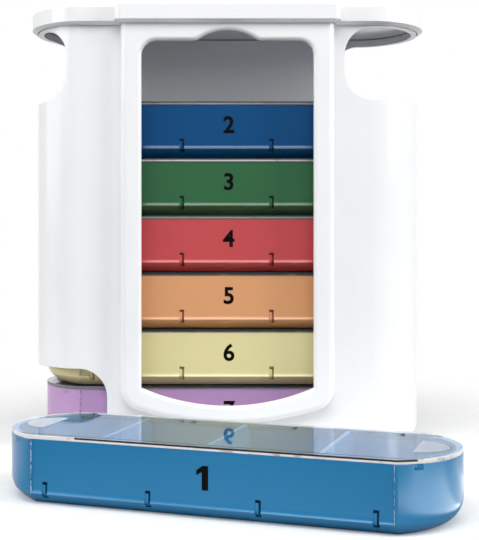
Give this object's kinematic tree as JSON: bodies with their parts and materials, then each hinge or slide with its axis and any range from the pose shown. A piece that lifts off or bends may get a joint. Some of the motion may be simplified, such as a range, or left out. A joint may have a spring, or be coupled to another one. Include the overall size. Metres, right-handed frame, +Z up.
{
  "type": "weekly pill box",
  "caption": "Upright white dispenser tower with a front window, holding stacked coloured trays divided into compartments under clear sliding lids, with a loose tray lying in front.",
  "frame": {"origin": "middle of the flat underside of the tower", "axes": "+Z up, +X towards the tower's right-hand end, -Y towards the window side"},
  "size_m": [0.1502, 0.1633, 0.1645],
  "materials": {
    "white_plastic": "glossy white moulded plastic",
    "clear_plastic": "clear glossy moulded plastic",
    "monday_plastic": "glossy coloured moulded plastic",
    "tuesday_plastic": "glossy coloured moulded plastic",
    "wednesday_plastic": "glossy coloured moulded plastic",
    "thursday_plastic": "glossy coloured moulded plastic",
    "friday_plastic": "glossy coloured moulded plastic",
    "saturday_plastic": "glossy coloured moulded plastic",
    "sunday_plastic": "glossy coloured moulded plastic"
  },
  "bodies": {
    "tower": {"housing": "white_plastic", "top_cap": "white_plastic"},
    "sunday_tray": {"sunday_tray": "sunday_plastic"},
    "sunday_lid": {"sunday_lid": "clear_plastic"},
    "saturday_tray": {"saturday_tray": "saturday_plastic", "saturday_lid": "clear_plastic"},
    "friday_tray": {"friday_tray": "friday_plastic", "friday_lid": "clear_plastic"},
    "thursday_tray": {"thursday_tray": "thursday_plastic", "thursday_lid": "clear_plastic"},
    "wednesday_tray": {"wednesday_tray": "wednesday_plastic", "wednesday_lid": "clear_plastic"},
    "tuesday_tray": {"tuesday_tray": "tuesday_plastic", "tuesday_lid": "clear_plastic"},
    "monday_tray": {"monday_tray": "monday_plastic"},
    "monday_lid": {"monday_lid": "clear_plastic"}
  },
  "joints": [
    {"name": "sunday_tray_slide", "type": "slide", "parent": "tower", "child": "sunday_tray", "axis": [-1, 0, 0], "range_m": [0, 0.14]},
    {"name": "sunday_lid_slide", "type": "slide", "parent": "sunday_tray", "child": "sunday_lid", "axis": [-1, 0, 0], "range_m": [0, 0.1]},
    {"name": "saturday_tray_lift", "type": "slide", "parent": "tower", "child": "saturday_tray", "axis": [0, 0, 1], "range_m": [0, 0.0297]},
    {"name": "friday_tray_lift", "type": "slide", "parent": "tower", "child": "friday_tray", "axis": [0, 0, 1], "range_m": [0, 0.0297]},
    {"name": "thursday_tray_lift", "type": "slide", "parent": "tower", "child": "thursday_tray", "axis": [0, 0, 1], "range_m": [0, 0.0297]},
    {"name": "wednesday_tray_lift", "type": "slide", "parent": "tower", "child": "wednesday_tray", "axis": [0, 0, 1], "range_m": [0, 0.0297]},
    {"name": "tuesday_tray_lift", "type": "slide", "parent": "tower", "child": "tuesday_tray", "axis": [0, 0, 1], "range_m": [0, 0.0297]},
    {"name": "monday_tray_lift", "type": "slide", "parent": "tower", "child": "monday_tray", "axis": [0, 0, 1], "range_m": [0, 0.15]},
    {"name": "monday_lid_slide", "type": "slide", "parent": "monday_tray", "child": "monday_lid", "axis": [0.9438, -0.3305, 0], "range_m": [-0.1, 0.1]}
  ],
  "couplings": [
    {"joint": "friday_tray_lift", "follows": "saturday_tray_lift", "ratio": 1},
    {"joint": "thursday_tray_lift", "follows": "saturday_tray_lift", "ratio": 1},
    {"joint": "wednesday_tray_lift", "follows": "saturday_tray_lift", "ratio": 1},
    {"joint": "tuesday_tray_lift", "follows": "saturday_tray_lift", "ratio": 1}
  ]
}
